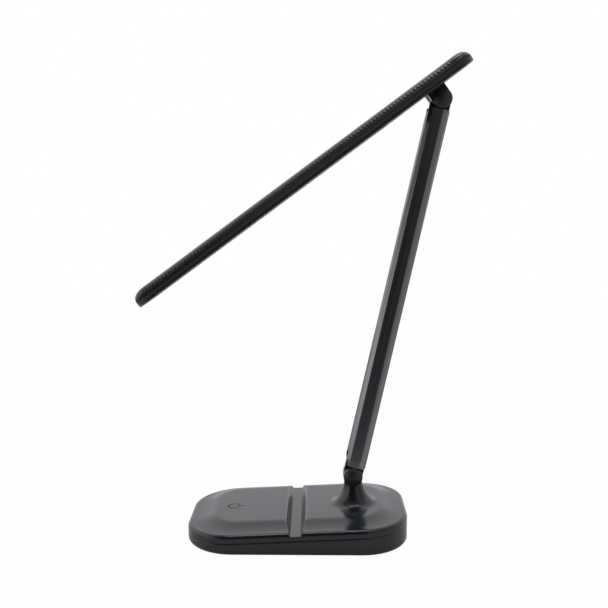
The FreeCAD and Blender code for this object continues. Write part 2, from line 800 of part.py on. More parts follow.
def hinge_hardware(name, x, z):
    head = across("bolt_head", "bolt_head_diameter", HEAD_SEAT, "bolt_head_height", x, z)
    start = f"-{HEAD_SEAT} - bolt_head_height"
    shank = across("bolt_shank", "bolt_diameter", start, f"2 * {HEAD_SEAT} + bolt_head_height", x, z)
    as_node(fused(f"{name}_bolt", [head, shank]), f"{name}_bolt")
    nut = doc.addObject("Part::Prism", "nut_block")
    nut.Polygon = 6
    tie(nut, "Circumradius", "bolt_head_diameter / 2")
    tie(nut, "Height", "bolt_head_height")
    nut.Placement = FreeCAD.Placement(FreeCAD.Vector(), FreeCAD.Rotation(X, -90))
    for letter, text in zip("xyz", (x, start, z)):
        tie(nut, f"Placement.Base.{letter}", text)
    bore = across("nut_bore", "bolt_diameter + 2 * bolt_fit", start, "bolt_head_height", x, z)
    as_node(cut(f"{name}_nut", nut, bore), f"{name}_nut")
    washers = []
    for low in (f"-{SLOT_HALF}", f"{SLOT_HALF} - washer_thickness"):
        disc = across("washer_disc", "2 * (tongue_radius - washer_margin)", low, "washer_thickness", x, z)
        hole = across("washer_hole", "bolt_diameter + 2 * bolt_fit", low, "washer_thickness", x, z)
        washers.append(cut("washer", disc, hole))
    as_node(gathered(f"{name}_washers", washers), f"{name}_washers")
    hinge_cap(f"{name}_cap_front", x, z, -1)
    hinge_cap(f"{name}_cap_rear", x, z, 1)


# Arm, drawn upright from the lower pivot and leaned as a whole

def arm_section(drawing, shrink, bevel="0"):
    """The arm's section: chamfers on the user's side, moved in by a bevel, and round corners at the back."""
    half_width, half_depth = f"(tube_width / 2 - ({shrink}))", f"(tube_depth / 2 - ({shrink}))"
    user_side = f"({half_width} - {bevel})"
    chamfer = f"(tube_chamfer - ({shrink}) * (2 - sqrt(2)))"
    corner = f"(tube_round - ({shrink}))"
    profile(drawing, [
        (f"-{user_side} + {chamfer}", f"-{half_depth}"),
        (f"{half_width} - {corner}", f"-{half_depth}", corner),
        (half_width, f"-{half_depth} + {corner}"),
        (half_width, f"{half_depth} - {corner}", corner),
        (f"{half_width} - {corner}", half_depth),
        (f"-{user_side} + {chamfer}", half_depth),
        (f"-{user_side}", f"{half_depth} - {chamfer}"),
        (f"-{user_side}", f"-{half_depth} + {chamfer}"),
    ])
    return drawing


def user_side_cut(body, low, high):
    """A window through the user's side of the arm's wall, between two heights."""
    drawing = sketch(body, "YZ_Plane", z="-tube_width / 2 - tube_wall")
    rectangle(drawing, "-window_width / 2", low, "window_width / 2", high)
    pocket(body, drawing, "2 * tube_wall", reverse=True)


def arm_tube():
    body = new_body("arm_tube")
    length = f"{UPPER_SEAT} - {LOWER_SEAT}"
    pad(body, arm_section(level(body, LOWER_SEAT), "0"), length)
    pocket(body, arm_section(level(body, LOWER_SEAT), "tube_wall"), length, reverse=True)
    # The lower end is a solid collar, drawn in towards the hinge and forked round the hinge tongue.
    loft(body, [arm_section(level(body, COLLAR_START), "collar_taper", "collar_bevel"),
                arm_section(level(body, LOWER_SEAT), "0")])
    fork = level(body, COLLAR_START)
    rectangle(fork, "-tube_width", "-tongue_thickness / 2 - plug_gap", "tube_width",
              "tongue_thickness / 2 + plug_gap")
    pocket(body, fork, "collar_length", reverse=True)
    user_side_cut(body, f"{LOWER_SEAT} + window_start", f"{LOWER_SEAT} + window_start + window_length")
    user_side_cut(body, f"{UPPER_SEAT} - notch_length", "arm_reach")
    in_arm(body)


def arm_insert(label, pivot, way):
    """A hinge tongue and the plug it grows from; way is 1 at the lower end and -1 at the upper one."""
    body = new_body(label)
    sign = "+" if way > 0 else "-"
    seat = LOWER_SEAT if way > 0 else UPPER_SEAT
    pad(body, arm_section(level(body, seat), "(tube_wall + plug_gap)"), "plug_length", reverse=way < 0)
    tongue = sketch(body, "XZ_Plane")
    round_end(tongue, "tongue_radius", pivot, seat, way)
    pad(body, tongue, "tongue_thickness", both_ways=True)
    hole = sketch(body, "XZ_Plane")
    circle(hole, "0", pivot, "bolt_diameter / 2 + bolt_fit")
    pocket(body, hole, "2 * tongue_thickness", both_ways=True)
    bore = level(body, f"({seat} {sign} plug_length)")
    circle(bore, "0", "0", "cable_diameter / 2 + cable_gap")
    pocket(body, bore, "cable_depth", reverse=way < 0)
    in_arm(body)


def arm_cable():
    body = new_body("arm_cable")
    start = f"({LOWER_SEAT} + plug_length - cable_depth)"
    drawing = level(body, start)
    circle(drawing, "0", "0", "cable_diameter / 2")
    pad(body, drawing, f"{UPPER_SEAT} - plug_length + cable_depth - {start}")
    in_arm(body)


# Head, drawn level from the upper pivot and tilted as a whole

def is_top_rim(shape):
    """A test for edges between an upright side and a face that looks up."""
    def normal_height(face, edge):
        u, v = face.Surface.parameter(edge.valueAt((edge.FirstParameter + edge.LastParameter) / 2))
        return face.normalAt(u, v).z

    def wanted(edge):
        heights = sorted(normal_height(face, edge) for face in shape.ancestorsOfType(edge, Part.Face))
        return len(heights) == 2 and abs(heights[0]) < UPRIGHT and heights[1] > LOOKS_UP
    return wanted


def head_top_shell():
    body = new_body("head_top_shell")
    start = f"({BEZEL_TOP} + bezel_gap)"
    # Each end bends down from the flat top in an arc that leaves it smoothly.
    bend = "(({0}_run ^ 2 + {0}_drop ^ 2) / (2 * {0}_drop))"
    side = sketch(body, "XZ_Plane")
    profile(side, [
        (f"-{HEAD_TAIL}", start),
        ("head_overhang", start),
        ("head_overhang", f"{HEAD_TOP} - heel_drop", bend.format("heel")),
        ("head_overhang - heel_run", HEAD_TOP),
        (f"-{HEAD_TAIL} + tip_run", HEAD_TOP, bend.format("tip")),
        (f"-{HEAD_TAIL}", f"{HEAD_TOP} - tip_drop"),
    ])
    pad(body, side, "head_width", both_ways=True)
    fillet(body, "head_corner", lambda edge: edge.BoundBox.XLength < NEAR and edge.BoundBox.YLength < NEAR)
    doc.recompute()
    fillet(body, "head_round", is_top_rim(body.Tip.Shape))
    fillet(body, "head_seam_round", at_height(start))
    hollow = level(body, start)
    rounded(hollow, f"(-{HEAD_TAIL} + cavity_tip)", "(head_overhang - cavity_heel)",
            "head_width - 2 * head_wall", "(head_corner - head_wall)")
    pocket(body, hollow, f"{HEAD_CEILING} - {start}", reverse=True)
    bosses, holes = level(body, BRACKET_SEAT), level(body, BRACKET_SEAT)
    for x, y in four_corners("bracket_screw_x / 2", "bracket_screw_y / 2"):
        circle(bosses, x, y, "bracket_boss / 2")
        circle(holes, x, y, "bracket_screw_diameter / 2 + screw_gap")
    pad(body, bosses, "bracket_boss_height + head_roof / 2")
    pocket(body, holes, "bracket_screw_length + screw_tip - bracket_plate", reverse=True)
    in_head(body)


def light_outline(drawing, grow):
    """The light window's outline, let out by a margin."""
    return rounded(drawing, f"({LIGHT_LOW} - ({grow}))", f"({LIGHT_HIGH} + {grow})",
                   f"{LIGHT_WIDTH} + 2 * ({grow})", f"(light_corner + {grow})")


def head_bezel():
    body = new_body("head_bezel")
    outline = level(body, "pivot_drop")
    rounded(outline, f"(-{HEAD_TAIL})", "head_overhang", "head_width", "head_corner")
    pad(body, outline, "bezel_height")
    fillet(body, "bezel_round", at_height("pivot_drop"))
    fillet(body, "head_seam_round", at_height(BEZEL_TOP))
    pocket(body, light_outline(level(body, "pivot_drop"), "0"), "bezel_height", reverse=True)
    opening = level(body, "pivot_drop")
    rectangle(opening, "-knuckle_radius - bracket_gap", "-clevis_width / 2 - bracket_gap",
              "knuckle_radius + bracket_gap", "clevis_width / 2 + bracket_gap")
    pocket(body, opening, "bezel_height", reverse=True)
    in_head(body)


def diffuser():
    body = new_body("diffuser")
    pane = light_outline(level(body, "(pivot_drop + diffuser_recess)"), "-diffuser_gap")
    pad(body, pane, "bezel_height - diffuser_recess + diffuser_flange")
    pad(body, light_outline(level(body, BEZEL_TOP), "diffuser_lip"), "diffuser_flange")
    in_head(body)


def light_plate(label, height, thickness, grow):
    """A plain plate over the light window."""
    body = new_body(label)
    pad(body, light_outline(level(body, height), grow), thickness)
    in_head(body)


def led_chips():
    body = new_body("led_chips")
    drawing = level(body, f"({LED_FACE} - led_height)")
    first_x = f"({LIGHT_X} - led_pitch * ({LED_COUNT} - 1) / 2)"
    first_y = "(-led_row_pitch * (led_rows - 1) / 2)"
    rectangle(drawing, f"{first_x} - led_size / 2", f"{first_y} - led_size / 2", f"{first_x} + led_size / 2",
              f"{first_y} + led_size / 2")
    chip = pad(body, drawing, "led_height")
    rows = body.newObject("PartDesign::LinearPattern", "pattern")
    rows.Originals = [chip]
    rows.Direction = (drawing, ["H_Axis"])
    rows.Direction2 = (drawing, ["V_Axis"])
    tie(rows, "Length", f"led_pitch * ({LED_COUNT} - 1)")
    tie(rows, "Occurrences", LED_COUNT)
    tie(rows, "Length2", "led_row_pitch * (led_rows - 1)")
    tie(rows, "Occurrences2", "led_rows")
    body.Tip = rows
    in_head(body)


def reflector_frame():
    """A white wall round the light chamber, from the diffuser up to the board."""
    body = new_body("reflector_frame")
    start = f"({BEZEL_TOP} + diffuser_flange)"
    drawing = light_outline(level(body, start), "0")
    light_outline(drawing, "-reflector_wall")
    pad(body, drawing, f"{HEAD_CEILING} - spreader_thickness - {start}")
    in_head(body)


def head_bracket():
    body = new_body("head_bracket")
    lug = sketch(body, "XZ_Plane")
    round_end(lug, "knuckle_radius", "0", BRACKET_FOOT)
    pad(body, lug, "clevis_width", both_ways=True)
    fillet(body, "knuckle_round", at_sides("clevis_width"))
    plate = level(body, BRACKET_FOOT)
    rounded(plate, "(-bracket_length / 2)", "(bracket_length / 2)", "bracket_width", "bracket_corner")
    for x, y in four_corners("bracket_screw_x / 2", "bracket_screw_y / 2"):
        circle(plate, x, y, "bracket_screw_diameter / 2 + screw_gap")
    pad(body, plate, "bracket_plate")
    slot = sketch(body, "XZ_Plane")
    rectangle(slot, "-2 * knuckle_radius", "-2 * knuckle_radius", "2 * knuckle_radius",
              "tongue_radius + slot_gap")
    pocket(body, slot, f"2 * {SLOT_HALF}", both_ways=True)
    hinge_bores(body, "0")
    in_head(body)


def bracket_screws():
    body = new_body("bracket_screws")
    heads, shanks = level(body, BRACKET_FOOT), level(body, BRACKET_FOOT)
    for x, y in four_corners("bracket_screw_x / 2", "bracket_screw_y / 2"):
        circle(heads, x, y, "bracket_screw_head / 2")
        circle(shanks, x, y, "bracket_screw_diameter / 2")
    pad(body, heads, "bracket_screw_head_height", reverse=True)
    pad(body, shanks, "bracket_screw_length")
    in_head(body)


base_top_shell()
power_symbol()
base_tray()
base_pad()
ballast_plate()
control_board()
touch_pad()
base_screws()
power_inlet()
hinge_hardware("lower_hinge", PIVOT_X, "pivot_height")
arm_tube()
arm_insert("arm_lower_insert", "0", 1)
arm_insert("arm_upper_insert", "arm_reach", -1)
arm_cable()
hinge_hardware("upper_hinge", UPPER_X, UPPER_Z)
head_top_shell()
head_bezel()
diffuser()
light_plate("heat_spreader", f"({HEAD_CEILING} - spreader_thickness)", "spreader_thickness", "0")
light_plate("led_board", LED_FACE, "led_board_thickness", "(-reflector_wall - led_board_gap)")
led_chips()
reflector_frame()
head_bracket()
bracket_screws()

doc.recompute()
for item in doc.Objects:
    if "Invalid" in item.State or "Error" in item.State:
        raise RuntimeError(f"{item.Name} ({item.Label}) failed: {item.State}")
os.makedirs("parts", exist_ok=True)
for node in nodes:
    shape = node.Shape
    if shape.isNull() or not shape.isValid():
        raise RuntimeError(f"{node.Label} has no valid shape")
for node in nodes:
    node.Shape.exportStep(f"parts/{node.Label}.step")
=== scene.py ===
import json
import math

import bpy
from mathutils import Matrix, Vector


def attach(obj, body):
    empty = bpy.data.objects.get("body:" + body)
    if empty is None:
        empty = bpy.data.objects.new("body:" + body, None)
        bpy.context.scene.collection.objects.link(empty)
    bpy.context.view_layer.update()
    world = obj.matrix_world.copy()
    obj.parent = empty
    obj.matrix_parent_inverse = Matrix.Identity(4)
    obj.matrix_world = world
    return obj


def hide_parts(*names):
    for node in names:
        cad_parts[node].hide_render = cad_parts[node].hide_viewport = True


# A folding LED desk lamp. The frame is in metres, with X along the base towards the arm and Z up.
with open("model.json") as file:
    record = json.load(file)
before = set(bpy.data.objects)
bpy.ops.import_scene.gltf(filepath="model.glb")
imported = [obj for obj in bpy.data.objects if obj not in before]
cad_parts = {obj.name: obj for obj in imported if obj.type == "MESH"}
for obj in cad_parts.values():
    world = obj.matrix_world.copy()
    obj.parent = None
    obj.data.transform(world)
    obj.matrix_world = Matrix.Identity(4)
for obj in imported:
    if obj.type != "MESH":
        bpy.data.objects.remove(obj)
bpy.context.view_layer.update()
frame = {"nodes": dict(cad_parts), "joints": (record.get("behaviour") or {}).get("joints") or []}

# Blender's own startup objects make way.
for spare in ("Cube", "Light", "Camera"):
    if spare in bpy.data.objects:
        bpy.data.objects.remove(bpy.data.objects[spare])

MM = 0.001
JOINTS = {joint["name"]: joint for joint in frame["joints"]}

# Camera, found from the photograph's outline
CAMERA_AT = Vector((0.0140, -0.6935, 0.2788))
CAMERA_DOWN = math.radians(7.04)
CAMERA_LEFT = math.radians(0.74)
CAMERA_LENS = 50.33
SENSOR_WIDTH = 36.0

# Arm: how far it leans from upright
ARM_LEAN = math.radians(12.45)

# Head, in its own frame: the origin is the upper pivot, x runs towards the heel, z out of the top face
HEAD_TILT = math.radians(36.3)
HEAD_TAIL = 294 * MM
HEAD_HEEL = 36.5 * MM
HEAD_HALF = (HEAD_HEEL + HEAD_TAIL) / 2
HEAD_MIDDLE = (HEAD_HEEL - HEAD_TAIL) / 2
HEAD_WIDTH = 45 * MM
HEAD_CORNER = 15 * MM
HEAD_TOP = 21.2 * MM
HEAD_SEAM = 11.3 * MM
SEAM_ROUND = 0.3 * MM
SEAM_KNEE = SEAM_ROUND * 0.3
# Crown along the sides, tighter round at the ends, and the run in which one becomes the other
CROWN_WIDTH, CROWN_DROP = 9 * MM, 5 * MM
END_ROUND = 4 * MM
END_RUN = 25 * MM
# The top bends down towards the tip and the heel.
TIP_RUN, TIP_DROP = 14 * MM, 3.4 * MM
HEEL_RUN, HEEL_DROP = 13 * MM, 3.6 * MM
# Hollow for the light: upright up to the knee, then drawn in to the ceiling
HEAD_WALL = 3 * MM
HEAD_KNEE = 14 * MM
CEILING_INSET, HEAD_CEILING = 5.5 * MM, 19.4 * MM
# Ribs across the head. They start low on the rounded edge and run out shallow over the top,
# between these shares of the way from an upright face (0) to a level one (1).
RIB_PITCH = 3.2 * MM
RIB_DEPTH = 0.3 * MM
RIB_TOP_DEPTH = 0.05 * MM
RIB_HEEL_GAP = 17 * MM
RIB_TIP_GAP = 5 * MM
RIB_FADE = 3 * MM
RIB_START, RIB_START_RUN = 0.3, 0.2
RIB_SHALLOW, RIB_SHALLOW_RUN = 0.6, 0.25
# How finely the head's top is divided
RIB_STEPS = 8
END_STEPS = 20
EDGE_STEPS = 14
FLAT_STEPS = 5

# Finishes: the part of a noise pattern's range that is put to use, and the rays that soften an edge
NOISE_LOW, NOISE_HIGH = 0.3, 0.7
BEVEL_SAMPLES = 8

# Table: its edges, its own grey, and how much plain white the camera and reflections see on it
TABLE_FRONT = -0.16
TABLE_BACK = 1.6
TABLE_SIDE = 1.2
TABLE_GREY = 0.6
TABLE_WHITE = 0.98
TABLE_GLOSSY_WHITE = 0.15

# Studio: brightness by depth, from the camera's side (0) to behind the lamp (1)
DEPTH_STOPS = ((0.0, 0.02), (0.25, 0.03), (0.45, 0.35), (0.56, 0.8), (0.8, 1.0))
# Walls that limit the dark front: the axis, where the wall starts, where it is full, and its brightness
LEFT_WALL = ("X", -0.6, -0.85, 1.2)
RIGHT_WALL = ("X", 0.15, 0.4, 0.47)
GROUND = ("Z", -0.15, -0.5, 0.3)
STUDIO_TINT = (0.98, 0.99, 1.02)
# The studio grows brighter from this height on to the zenith.
CLIMB_START = 0.3
CLIMB_LOW, CLIMB_HIGH = 1.0, 1.3

# Soft light above the lamp; its radiance is its brightness against white
OVERHEAD_AT = Vector((0, 0, 1.5))
OVERHEAD_TARGET = Vector((0, 0, 0.2))
OVERHEAD_WIDTH, OVERHEAD_DEPTH = 0.8, 0.55
OVERHEAD_RADIANCE = 4.6

WHITE = (1, 1, 1, 1)


def add_node(tree, kind, *in_order, **named):
    """Adds a node to a tree and sets or links its inputs, in order or by name.

    A name in lower case is a setting of the node itself, any other one an input.
    """
    item = tree.nodes.new(kind)
    sockets = list(zip(item.inputs, in_order))
    for name, value in named.items():
        if name.islower():
            setattr(item, name, value)
        else:
            sockets.append((item.inputs[name.replace("_", " ")], value))
    for socket, value in sockets:
        if isinstance(value, bpy.types.NodeSocket):
            tree.links.new(value, socket)
        else:
            socket.default_value = value
    return item


def add_object(name, data):
    """Puts a mesh, light or camera into the scene."""
    item = bpy.data.objects.new(name, data)
    bpy.context.scene.collection.objects.link(item)
    return item


class Finish:
    """A material under construction: its node tree, its shader and short calls that add detail to it."""

    def __init__(self, name, color, roughness, **sockets):
        self.material = bpy.data.materials.new(name)
        self.material.use_nodes = True
        self.tree = self.material.node_tree
        self.shader = self.tree.nodes["Principled BSDF"]
        self.put("Base Color", (*color, 1))
        self.put("Roughness", roughness)
        for socket, value in sockets.items():
            self.put(socket.replace("_", " "), value)

    def put(self, socket, value):
        self.shader.inputs[socket].default_value = value

    def node(self, kind, **named):
        return add_node(self.tree, kind, **named)

    def link(self, source, socket):
        self.tree.links.new(source, self.shader.inputs[socket])

    def noise(self, size, stretch=(1, 1, 1), turn=0.0, detail=3.0):
        """Noise with features of a size in metres, stretched along the piece's own axes, turned about Y."""
        place = self.node("ShaderNodeTexCoord").outputs["Object"]
        if turn:
            turned = self.node("ShaderNodeVectorRotate", Vector=place, Axis=(0, 1, 0), Angle=turn)
            place = turned.outputs["Vector"]
        scale = tuple(1 / (size * part) for part in stretch)
        place = self.node("ShaderNodeMapping", Vector=place, Scale=scale).outputs["Vector"]
        return self.node("ShaderNodeTexNoise", Vector=place, Scale=1.0, Detail=detail).outputs["Fac"]

    def vary(self, socket, pattern, low, high):
        """Lets a number on the shader follow a pattern between two values."""
        span = self.node("ShaderNodeMapRange", Value=pattern, From_Min=NOISE_LOW, From_Max=NOISE_HIGH,
                         To_Min=low, To_Max=high)
        self.link(span.outputs["Result"], socket)

    def tint(self, pattern, dark, light):
        """Lets the colour drift between two close shades."""
        ramp = self.node("ShaderNodeValToRGB", Fac=pattern)
        shades = ((NOISE_LOW, dark), (NOISE_HIGH, light))
        for element, (position, color) in zip(ramp.color_ramp.elements, shades):
            element.position = position
            element.color = (*color, 1)
        self.link(ramp.outputs["Color"], "Base Color")

    def bump(self, pattern, depth, edge=0.0):
        """Fine relief of a depth in metres, over edges softened to a radius."""
        relief = self.node("ShaderNodeBump", Height=pattern, Distance=depth)
        if edge:
            soft = self.node("ShaderNodeBevel", Radius=edge, samples=BEVEL_SAMPLES)
            self.tree.links.new(soft.outputs["Normal"], relief.inputs["Normal"])
        self.link(relief.outputs["Normal"], "Normal")


def grey(level, warm=0.0):
    """A near-neutral colour; warm moves it from bluish to yellowish."""
    return (level * (1 + warm), level, level * (1 - warm))


def base_plastic():
    """Polished black moulding with faint swirls in its gloss."""
    paint = Finish("base_plastic", color=grey(0.015, warm=-0.15), roughness=0.18, IOR=1.5)
    paint.vary("Roughness", paint.noise(9 * MM), low=0.15, high=0.21)
    paint.tint(paint.noise(30 * MM), dark=grey(0.014, warm=-0.15), light=grey(0.016, warm=-0.15))
    paint.bump(paint.noise(1.6 * MM), depth=0.004 * MM, edge=1.6 * MM)
    return paint.material


def head_plastic():
    """Satin black moulding with a fine spark grain."""
    paint = Finish("head_plastic", color=grey(0.015, warm=-0.15), roughness=0.33, IOR=1.5)
    paint.vary("Roughness", paint.noise(2.5 * MM), low=0.3, high=0.36)
    paint.tint(paint.noise(25 * MM), dark=grey(0.014, warm=-0.15), light=grey(0.016, warm=-0.15))
    paint.bump(paint.noise(0.3 * MM), depth=0.004 * MM)
    return paint.material


def hinge_plastic():
    """Semi-matt glass-filled black."""
    paint = Finish("hinge_plastic", color=grey(0.011, warm=-0.12), roughness=0.26, IOR=1.5)
    paint.vary("Roughness", paint.noise(1.8 * MM), low=0.22, high=0.3)
    paint.tint(paint.noise(6 * MM), dark=grey(0.010, warm=-0.12), light=grey(0.012, warm=-0.12))
    paint.bump(paint.noise(0.4 * MM), depth=0.005 * MM)
    return paint.material


def cap_plastic():
    """Smooth black hinge covers."""
    paint = Finish("cap_plastic", color=grey(0.022, warm=-0.1), roughness=0.42, IOR=1.5)
    paint.vary("Roughness", paint.noise(3 * MM), low=0.38, high=0.46)
    paint.tint(paint.noise(5 * MM), dark=grey(0.020, warm=-0.1), light=grey(0.024, warm=-0.1))
    paint.bump(paint.noise(0.5 * MM), depth=0.004 * MM)
    return paint.material


def arm_metal():
    """Dark anodised aluminium, brushed along the arm, with edges that mirror less than bare metal."""
    paint = Finish("arm_metal", color=grey(0.21, warm=-0.02), roughness=0.24, Metallic=1.0,
                   Specular_Tint=(*grey(0.42), 1))
    streaks = paint.noise(0.5 * MM, stretch=(1, 1, 160), turn=-ARM_LEAN, detail=2.0)
    broad = paint.noise(2.2 * MM, stretch=(1, 1, 60), turn=-ARM_LEAN, detail=2.0)
    paint.vary("Roughness", broad, low=0.2, high=0.28)
    paint.tint(streaks, dark=grey(0.195, warm=-0.02), light=grey(0.225, warm=-0.02))
    paint.bump(streaks, depth=0.002 * MM)
    return paint.material


def mark_ink():
    """Matt dark inlay of the standby mark."""
    paint = Finish("mark_ink", color=grey(0.008), roughness=0.6, IOR=1.3, Specular_IOR_Level=0.15)
    paint.vary("Roughness", paint.noise(0.6 * MM), low=0.5, high=0.7)
    paint.tint(paint.noise(1.2 * MM), dark=grey(0.006), light=grey(0.010))
    return paint.material


def pad_rubber():
    """Grippy black rubber."""
    paint = Finish("pad_rubber", color=grey(0.022), roughness=0.75, IOR=1.5)
    paint.vary("Roughness", paint.noise(4 * MM), low=0.68, high=0.84)
    paint.tint(paint.noise(12 * MM), dark=grey(0.018), light=grey(0.027))
    paint.bump(paint.noise(0.7 * MM), depth=0.06 * MM)
    return paint.material


def steel():
    """Zinc-plated steel."""
    paint = Finish("steel", color=grey(0.55, warm=0.01), roughness=0.3, Metallic=1.0)
    paint.vary("Roughness", paint.noise(2 * MM), low=0.24, high=0.4)
    paint.tint(paint.noise(4 * MM), dark=grey(0.5, warm=0.01), light=grey(0.6, warm=0.01))
    return paint.material


def circuit_board():
    """Green solder mask over copper."""
    paint = Finish("circuit_board", color=(0.01, 0.09, 0.03), roughness=0.35, IOR=1.5)
    paint.vary("Roughness", paint.noise(2 * MM), low=0.3, high=0.42)
    paint.tint(paint.noise(3 * MM), dark=(0.008, 0.075, 0.025), light=(0.013, 0.11, 0.04))
    return paint.material


def sensor_foam():
    """Conductive grey foam with open cells."""
    paint = Finish("sensor_foam", color=grey(0.06), roughness=0.95)
    paint.tint(paint.noise(0.8 * MM), dark=grey(0.03), light=grey(0.09))
    paint.bump(paint.noise(0.6 * MM), depth=0.15 * MM)
    return paint.material


def inlet_plastic():
    """Black insulator of the power inlet."""
    paint = Finish("inlet_plastic", color=grey(0.02), roughness=0.4, IOR=1.5)
    paint.vary("Roughness", paint.noise(0.8 * MM), low=0.34, high=0.48)
    paint.tint(paint.noise(2 * MM), dark=grey(0.016), light=grey(0.024))
    return paint.material


def cable_jacket():
    """Soft dark cable jacket."""
    paint = Finish("cable_jacket", color=grey(0.03), roughness=0.5, IOR=1.5)
    paint.vary("Roughness", paint.noise(3 * MM), low=0.42, high=0.58)
    paint.tint(paint.noise(8 * MM), dark=grey(0.025), light=grey(0.035))
    return paint.material


def diffuser_white():
    """Opal sheet with a fine frosted face."""
    paint = Finish("diffuser_white", color=grey(0.8, warm=0.004), roughness=0.4, IOR=1.49,
                   Subsurface_Weight=0.25, Subsurface_Radius=(1.0, 1.0, 1.0), Subsurface_Scale=1.5 * MM)
    paint.vary("Roughness", paint.noise(2 * MM), low=0.36, high=0.46)
    paint.tint(paint.noise(40 * MM), dark=grey(0.78, warm=0.004), light=grey(0.82, warm=0.004))
    paint.bump(paint.noise(0.3 * MM), depth=0.01 * MM)
    return paint.material


def bare_aluminium():
    """Plain aluminium, rolled along the head."""
    paint = Finish("bare_aluminium", color=grey(0.75), roughness=0.35, Metallic=1.0)
    paint.vary("Roughness", paint.noise(1.5 * MM, stretch=(30, 1, 1)), low=0.28, high=0.42)
    paint.tint(paint.noise(4 * MM), dark=grey(0.7), light=grey(0.78))
    return paint.material


def led_board_white():
    """White solder mask."""
    paint = Finish("led_board_white", color=grey(0.75), roughness=0.4, IOR=1.5)
    paint.vary("Roughness", paint.noise(2 * MM), low=0.35, high=0.46)
    paint.tint(paint.noise(5 * MM), dark=grey(0.72), light=grey(0.78))
    return paint.material


def led_phosphor():
    """Yellow phosphor over the chips."""
    paint = Finish("led_phosphor", color=(0.75, 0.55, 0.08), roughness=0.45, IOR=1.5)
    paint.tint(paint.noise(0.6 * MM), dark=(0.7, 0.5, 0.06), light=(0.8, 0.6, 0.1))
    return paint.material


def reflector_white():
    """Matt white reflector."""
    paint = Finish("reflector_white", color=grey(0.78), roughness=0.55, IOR=1.5)
    paint.tint(paint.noise(6 * MM), dark=grey(0.75), light=grey(0.81))
    return paint.material


def washer_polymer():
    """Natural white friction washers."""
    paint = Finish("washer_polymer", color=grey(0.55, warm=0.03), roughness=0.5, IOR=1.45)
    paint.tint(paint.noise(2 * MM), dark=grey(0.5, warm=0.03), light=grey(0.6, warm=0.03))
    return paint.material


FINISHES = (base_plastic, head_plastic, hinge_plastic, cap_plastic, arm_metal, mark_ink, pad_rubber, steel,
            circuit_board, sensor_foam, inlet_plastic, cable_jacket, diffuser_white, bare_aluminium,
            led_board_white, led_phosphor, reflector_white, washer_polymer)


def dress_nodes():
    """Gives every CAD node the finish of its material slot and returns the finishes by slot."""
    finishes = {}
    for make in FINISHES:
        for old in [item for item in bpy.data.materials if item.name == make.__name__]:
            old.name = f"{make.__name__}_plain"
        finishes[make.__name__] = make()
    for item in frame["nodes"].values():
        for place, old in enumerate(item.data.materials):
            item.data.materials[place] = finishes[old.name.removesuffix("_plain")]
    return finishes


# Head cover with its ribs

def head_frame():
    """The matrix from the head's own frame to the lamp's."""
    pivot = Matrix.Translation(JOINTS["head_tilt"]["pos_m"])
    return pivot @ Matrix.Rotation(-HEAD_TILT, 4, "Y")


def smooth(value):
    """0 below 0, 1 above 1, and an even S between."""
    value = min(max(value, 0.0), 1.0)
    return value * value * (3 - 2 * value)


def end_distance(x):
    """How far a place along the head lies from the nearer end."""
    return min(x + HEAD_TAIL, HEAD_HEEL - x)


def arc_drop(distance, run, drop):
    """How far the top has bent down at a distance from an end."""
    if distance >= run:
        return 0.0
    radius = (run ** 2 + drop ** 2) / (2 * drop)
    return radius - math.sqrt(radius ** 2 - (run - distance) ** 2)


def top_height(x):
    """The height of the head's top along its middle."""
    return (HEAD_TOP - arc_drop(x + HEAD_TAIL, TIP_RUN, TIP_DROP)
            - arc_drop(HEAD_HEEL - x, HEEL_RUN, HEEL_DROP))


def half_width(x):
    """Half the head's width at x, with the round corners of its outline."""
    side = HEAD_WIDTH / 2
    end = end_distance(x)
    if end >= HEAD_CORNER:
        return side
    return side - HEAD_CORNER + math.sqrt(HEAD_CORNER ** 2 - (HEAD_CORNER - max(end, 0)) ** 2)


def edge_distance(x, y):
    """How far a point lies inside the head's outline."""
    over_x = abs(x - HEAD_MIDDLE) - (HEAD_HALF - HEAD_CORNER)
    over_y = abs(y) - (HEAD_WIDTH / 2 - HEAD_CORNER)
    outside = math.hypot(max(over_x, 0), max(over_y, 0))
    return max(HEAD_CORNER - outside - min(max(over_x, over_y), 0), 0)


def cover_height(x, y):
    """The head's top face: a flat crown along the sides, a tighter round at the ends."""
    full = smooth(end_distance(x) / END_RUN)
    width = END_ROUND + (CROWN_WIDTH - END_ROUND) * full
    drop = END_ROUND + (CROWN_DROP - END_ROUND) * full
    short = max(1 - edge_distance(x, y) / width, 0)
    return top_height(x) - drop * (1 - math.sqrt(1 - short ** 2))


def rib_depth(x, lift):
    """How deep a groove lies at x: a notch low on the rounded edge that runs out shallow over the top.

    lift is 0 on the upright side and 1 on the top.
    """
    first, last = RIB_TIP_GAP - HEAD_TAIL, HEAD_HEEL - RIB_HEEL_GAP
    reach = smooth((x - first) / RIB_FADE) * smooth((last - x) / RIB_FADE)
    wave = (1 - math.cos(2 * math.pi * x / RIB_PITCH)) / 2
    shallow = smooth((lift - RIB_SHALLOW) / RIB_SHALLOW_RUN)
    depth = RIB_DEPTH + (RIB_TOP_DEPTH - RIB_DEPTH) * shallow
    return depth * wave * reach * smooth((lift - RIB_START) / RIB_START_RUN)


def crown_steps(count):
    """Distances from an edge over the width of the crown, closest together at the edge."""
    return [CROWN_WIDTH * (1 - math.cos(math.pi / 2 * step / count)) for step in range(count + 1)]


def lengths_along():
    """Places along the head: close together on the rounded ends, even over the ribs."""
    bends = crown_steps(END_STEPS)[:-1]
    span = HEAD_TAIL + HEAD_HEEL - 2 * CROWN_WIDTH
    count = round(span / RIB_PITCH * RIB_STEPS)
    middle = [CROWN_WIDTH - HEAD_TAIL + span / count * number for number in range(count + 1)]
    return [bend - HEAD_TAIL for bend in bends] + middle + [HEAD_HEEL - bend for bend in reversed(bends)]


